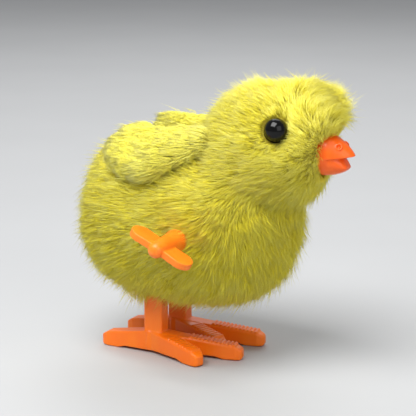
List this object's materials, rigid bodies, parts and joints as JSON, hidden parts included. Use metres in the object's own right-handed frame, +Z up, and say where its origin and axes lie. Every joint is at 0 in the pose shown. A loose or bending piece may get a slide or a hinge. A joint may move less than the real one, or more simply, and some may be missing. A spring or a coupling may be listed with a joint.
{
  "type": "wind-up hopping chick",
  "caption": "Wind-up plush chick: a clockwork motor with a key on the flank rocks both plastic legs so that the chick hops.",
  "frame": {"origin": "on the floor, midway between the two legs and just under the hip shaft", "axes": "+Z up; the chick faces -Y; its right side, with the key, is -X"},
  "size_m": [0.062, 0.0842, 0.0825],
  "materials": {
    "plush": "short lemon yellow pile",
    "wing_plush": "clipped lemon yellow pile",
    "eye": "gloss black",
    "orange_plastic": "satin orange",
    "shell_plastic": "plain moulded",
    "gear_plastic": "natural acetal",
    "steel": "bright"
  },
  "bodies": {
    "body": {"plush_cover": "plush", "right_wing": "wing_plush", "left_wing": "wing_plush", "right_eye": "eye", "left_eye": "eye", "eye_washers": "steel", "beak": "orange_plastic", "body_shell_right": "shell_plastic", "body_shell_left": "shell_plastic", "shell_screws": "steel", "gearbox_case": "gear_plastic", "gearbox_cover": "gear_plastic", "gearbox_screws": "steel", "mainspring": "steel", "spring_post": "steel"},
    "winding": {"winding_key": "orange_plastic", "winding_arbor": "steel", "great_wheel": "gear_plastic", "ratchet_wheel": "steel", "click": "steel"},
    "second": {"second_wheel": "gear_plastic", "second_arbor": "steel"},
    "third": {"third_wheel": "gear_plastic", "third_arbor": "steel"},
    "crank": {"crank_wheel": "gear_plastic", "crank_arbor": "steel", "crank_pin": "steel"},
    "legs": {"hip_shaft": "steel", "rocker_fork": "gear_plastic", "right_leg": "orange_plastic", "left_leg": "orange_plastic"}
  },
  "joints": [
    {"name": "key_wind", "type": "hinge", "parent": "body", "child": "winding", "pos_m": [0, -0.01518, 0.0392], "axis": [1, 0, 0], "continuous": true},
    {"name": "second_spin", "type": "hinge", "parent": "body", "child": "second", "pos_m": [0, -0.00431, 0.04428], "axis": [1, 0, 0], "continuous": true},
    {"name": "third_spin", "type": "hinge", "parent": "body", "child": "third", "pos_m": [0, 0.00482, 0.04131], "axis": [1, 0, 0], "continuous": true},
    {"name": "crank_spin", "type": "hinge", "parent": "body", "child": "crank", "pos_m": [0, 0.00599, 0.03299], "axis": [1, 0, 0], "continuous": true},
    {"name": "leg_rock", "type": "hinge", "parent": "body", "child": "legs", "pos_m": [0, 0.00035, 0.0265], "axis": [1, 0, 0], "range_deg": [-10, 10]}
  ],
  "couplings": [
    {"joint": "second_spin", "follows": "key_wind", "ratio": -3},
    {"joint": "third_spin", "follows": "key_wind", "ratio": 9},
    {"joint": "crank_spin", "follows": "key_wind", "ratio": -22.5}
  ]
}
